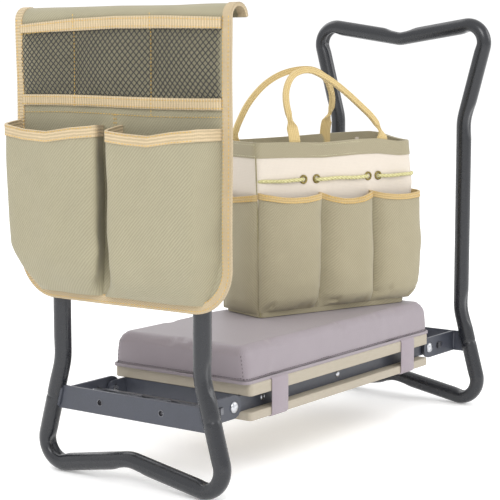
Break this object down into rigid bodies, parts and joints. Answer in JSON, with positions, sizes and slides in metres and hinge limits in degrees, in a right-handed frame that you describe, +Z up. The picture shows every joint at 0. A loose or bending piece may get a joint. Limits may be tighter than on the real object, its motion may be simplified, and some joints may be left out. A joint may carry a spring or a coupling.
{
  "type": "garden kneeler seat",
  "caption": "Padded garden kneeler and seat with two folding tube frames, a hanging tool pouch and a tote bag on the pad.",
  "frame": {"origin": "on the ground under the middle of the whole object's box", "axes": "+Z up; +X along the seat, away from the pouch; -Y is the front"},
  "size_m": [0.6092, 0.283, 0.493],
  "materials": {
    "painted_tube": "semi-gloss powder coat, dark slate blue-grey",
    "painted_flat_bar": "semi-gloss powder coat, dark slate blue-grey",
    "bare_steel": "plain drawn steel",
    "zinc": "bright zinc plate",
    "washer_nylon": "black nylon",
    "board": "painted composite board, matte beige",
    "pad_cover_fabric": "smooth coated oxford, mauve grey",
    "foam": "closed-cell foam",
    "strap_webbing": "folded oxford strap, mauve grey",
    "hook_and_loop": "hook and loop tape",
    "pouch_fabric": "coated oxford, sage khaki",
    "net": "open knitted net, black",
    "binding_tape": "ribbed grosgrain tape, warm gold",
    "tote_fabric": "coated oxford, khaki",
    "cream_fabric": "smooth cream lining cloth",
    "base_board_plastic": "stiffener board",
    "eyelet_brass": "pressed antique brass",
    "cord": "braided cord, pale yellow green",
    "handle_webbing": "woven webbing, gold"
  },
  "bodies": {
    "seat": {"board_bolts": "zinc", "pad_closure_left": "hook_and_loop", "pad_closure_right": "hook_and_loop", "pad_cover": "pad_cover_fabric", "pad_foam": "foam", "pad_strap_left": "strap_webbing", "pad_strap_right": "strap_webbing", "pivot_rivets": "zinc", "pivot_washers": "washer_nylon", "rail_rivets": "zinc", "seat_board_bottom": "board", "seat_board_top": "board", "seat_end_plate_left": "painted_flat_bar", "seat_end_plate_right": "painted_flat_bar", "seat_rail_back": "painted_flat_bar", "seat_rail_front": "painted_flat_bar"},
    "left_frame": {"left_arm_back": "painted_flat_bar", "left_arm_front": "painted_flat_bar", "left_cross_plate": "painted_flat_bar", "left_foot_tube": "painted_tube", "left_handle_tube": "painted_tube", "left_joint_sleeves": "bare_steel", "left_lock_guides": "bare_steel", "left_lock_springs": "bare_steel", "pouch_edge_binding": "binding_tape", "pouch_flap": "pouch_fabric", "pouch_hook_strip": "hook_and_loop", "pouch_loop_strip": "hook_and_loop", "pouch_net": "net", "pouch_net_bottom_tape": "binding_tape", "pouch_net_top_tape": "binding_tape", "pouch_panel": "pouch_fabric", "pouch_pocket_back": "pouch_fabric", "pouch_pocket_front": "pouch_fabric", "pouch_pocket_tape_back": "binding_tape", "pouch_pocket_tape_front": "binding_tape"},
    "right_frame": {"right_arm_back": "painted_flat_bar", "right_arm_front": "painted_flat_bar", "right_cross_plate": "painted_flat_bar", "right_foot_tube": "painted_tube", "right_handle_tube": "painted_tube", "right_joint_sleeves": "bare_steel", "right_lock_guides": "bare_steel", "right_lock_springs": "bare_steel"},
    "left_lock": {"left_lock_bar": "painted_flat_bar"},
    "right_lock": {"right_lock_bar": "painted_flat_bar"},
    "tote": {"tote_base_board": "base_board_plastic", "tote_body": "tote_fabric", "tote_cream_band": "cream_fabric", "tote_drawcord": "cord", "tote_eyelets": "eyelet_brass", "tote_handle_back": "handle_webbing", "tote_handle_front": "handle_webbing", "tote_pocket_tapes": "binding_tape", "tote_pockets_back": "tote_fabric", "tote_pockets_front": "tote_fabric", "tote_pockets_left": "tote_fabric", "tote_pockets_right": "tote_fabric", "tote_rim_band": "tote_fabric"}
  },
  "joints": [
    {"name": "left_frame_fold", "type": "hinge", "parent": "seat", "child": "left_frame", "pos_m": [-0.1801, 0, 0.081], "axis": [0, 1, 0], "range_deg": [0, 45], "deforming": ["tote_base_board", "tote_body", "tote_cream_band", "tote_drawcord", "tote_eyelets", "tote_handle_back", "tote_handle_front", "tote_pocket_tapes", "tote_pockets_back", "tote_pockets_front", "tote_pockets_left", "tote_pockets_right", "tote_rim_band"]},
    {"name": "right_frame_fold", "type": "hinge", "parent": "seat", "child": "right_frame", "pos_m": [0.2303, 0, 0.081], "axis": [0, -1, 0], "range_deg": [0, 88.5], "deforming": ["tote_base_board", "tote_body", "tote_cream_band", "tote_drawcord", "tote_eyelets", "tote_handle_back", "tote_handle_front", "tote_pocket_tapes", "tote_pockets_back", "tote_pockets_front", "tote_pockets_left", "tote_pockets_right", "tote_rim_band"]},
    {"name": "left_lock_slide", "type": "slide", "parent": "left_frame", "child": "left_lock", "axis": [-1, 0, 0], "range_m": [0, 0.006], "stiffness_N_per_m": 600, "springref_m": -0.004, "deforming": ["left_lock_springs"]},
    {"name": "right_lock_slide", "type": "slide", "parent": "right_frame", "child": "right_lock", "axis": [1, 0, 0], "range_m": [0, 0.006], "stiffness_N_per_m": 600, "springref_m": -0.004, "deforming": ["right_lock_springs"]},
    {"name": "tote_lift", "type": "slide", "parent": "seat", "child": "tote", "axis": [0, 0, 1], "range_m": [0, 0.45]}
  ]
}
